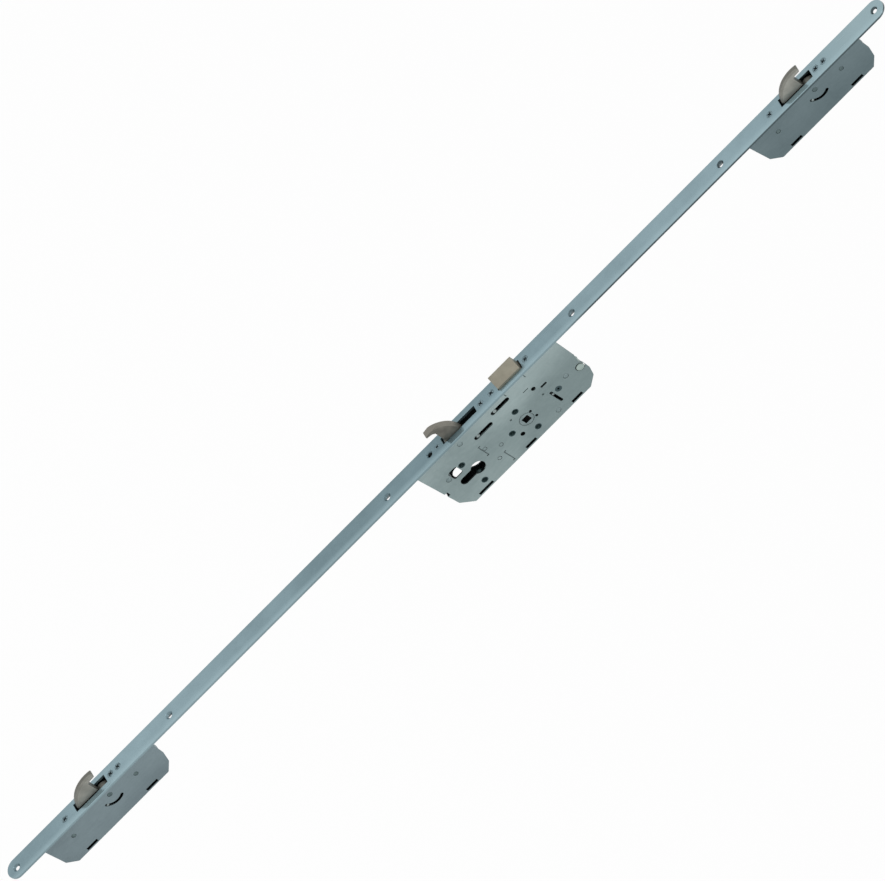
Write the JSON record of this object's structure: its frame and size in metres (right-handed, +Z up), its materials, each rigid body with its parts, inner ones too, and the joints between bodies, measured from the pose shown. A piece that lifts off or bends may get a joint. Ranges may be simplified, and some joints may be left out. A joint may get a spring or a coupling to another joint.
{
  "type": "multipoint door lock",
  "caption": "Multipoint mortise lock for an entrance door: long faceplate with round ends, main case with latch, hook bolts above, below and in the middle, joined by drive rods.",
  "frame": {"origin": "on the handle spindle's axis, in the middle of the lock's thickness", "axes": "+Z up along the faceplate, +Y from the door's edge into the door, +X across the door's thickness towards the case cover"},
  "size_m": [0.024, 0.1122, 1.3],
  "materials": {
    "faceplate_steel": "satin",
    "case_steel": "matt zinc plate",
    "bolt_nickel": "satin nickel plate",
    "pin_steel": "bright",
    "screw_steel": "blue zinc plate",
    "bush_steel": "dark passivated",
    "drive_steel": "zinc plate",
    "gear_steel": "sintered",
    "spring_steel": "bright wire"
  },
  "bodies": {
    "case": {"faceplate": "faceplate_steel", "main_case_tray": "case_steel", "main_case_cover": "case_steel", "upper_case_tray": "case_steel", "upper_case_cover": "case_steel", "lower_case_tray": "case_steel", "lower_case_cover": "case_steel", "main_case_rivets": "pin_steel", "hook_case_rivets": "pin_steel", "case_top_stud": "pin_steel", "main_screw_blocks": "drive_steel", "hook_screw_blocks": "drive_steel", "case_screws": "screw_steel", "small_case_screw": "screw_steel", "rod_guide_studs": "pin_steel", "rose_bushes": "bush_steel", "ring_bush": "bush_steel", "main_hook_pivot_pin": "pin_steel", "upper_hook_pivot_pin": "pin_steel", "lower_hook_pivot_pin": "pin_steel", "gear_axles": "pin_steel", "latch_guide_block": "drive_steel", "latch_spring": "spring_steel", "handle_return_spring": "spring_steel"},
    "drive": {"main_drive_slide": "drive_steel", "upper_rod": "drive_steel", "lower_rod": "drive_steel", "upper_drive_slide": "drive_steel", "lower_drive_slide": "drive_steel", "drive_guide_pins": "pin_steel", "main_hook_drive_pin": "pin_steel"},
    "main_hook_bolt": {"main_hook": "bolt_nickel"},
    "upper_hook_bolt": {"upper_hook": "bolt_nickel", "upper_hook_drive_pin": "pin_steel"},
    "lower_hook_bolt": {"lower_hook": "bolt_nickel", "lower_hook_drive_pin": "pin_steel"},
    "latch": {"latch_bolt": "bolt_nickel", "latch_carriage": "drive_steel", "latch_guide_pin": "pin_steel"},
    "follower": {"handle_follower": "gear_steel"},
    "front_gear": {"front_cylinder_gear": "gear_steel"},
    "rear_gear": {"rear_cylinder_gear": "gear_steel"},
    "idler": {"idler_gear": "gear_steel"}
  },
  "joints": [
    {"name": "drive_slide", "type": "slide", "parent": "case", "child": "drive", "axis": [0, 0, 1], "range_m": [0, 0.018]},
    {"name": "main_hook_pivot", "type": "hinge", "parent": "case", "child": "main_hook_bolt", "pos_m": [0, -0.042, -0.0612], "axis": [1, 0, 0], "range_deg": [-98, 0]},
    {"name": "upper_hook_pivot", "type": "hinge", "parent": "case", "child": "upper_hook_bolt", "pos_m": [0, -0.0419, 0.4652], "axis": [1, 0, 0], "range_deg": [0, 81.3]},
    {"name": "lower_hook_pivot", "type": "hinge", "parent": "case", "child": "lower_hook_bolt", "pos_m": [0, -0.0419, -0.5843], "axis": [1, 0, 0], "range_deg": [0, 81.3]},
    {"name": "front_gear_spin", "type": "hinge", "parent": "case", "child": "front_gear", "pos_m": [0, -0.0122, -0.0511], "axis": [1, 0, 0], "range_deg": [-98.22, 0]},
    {"name": "rear_gear_spin", "type": "hinge", "parent": "case", "child": "rear_gear", "pos_m": [0, 0.0122, -0.0511], "axis": [1, 0, 0], "range_deg": [-98.22, 0]},
    {"name": "idler_spin", "type": "hinge", "parent": "case", "child": "idler", "pos_m": [0, 0, -0.03787], "axis": [1, 0, 0], "range_deg": [0, 137.51]},
    {"name": "handle_turn", "type": "hinge", "parent": "case", "child": "follower", "pos_m": [0, 0, 0], "axis": [1, 0, 0], "range_deg": [-35, 0], "stiffness_Nm_per_rad": 1, "springref_deg": 20.05},
    {"name": "latch_slide", "type": "slide", "parent": "case", "child": "latch", "axis": [0, 1, 0], "range_m": [0, 0.012], "deforming": ["latch_spring", "handle_return_spring"]}
  ],
  "couplings": [
    {"joint": "main_hook_pivot", "follows": "drive_slide", "rad_per_m": -95.023},
    {"joint": "upper_hook_pivot", "follows": "drive_slide", "rad_per_m": 78.831},
    {"joint": "lower_hook_pivot", "follows": "drive_slide", "rad_per_m": 78.831},
    {"joint": "front_gear_spin", "follows": "drive_slide", "rad_per_m": -95.238},
    {"joint": "rear_gear_spin", "follows": "drive_slide", "rad_per_m": -95.238},
    {"joint": "idler_spin", "follows": "drive_slide", "rad_per_m": 133.33},
    {"joint": "latch_slide", "follows": "handle_turn", "m_per_rad": -0.019644}
  ]
}
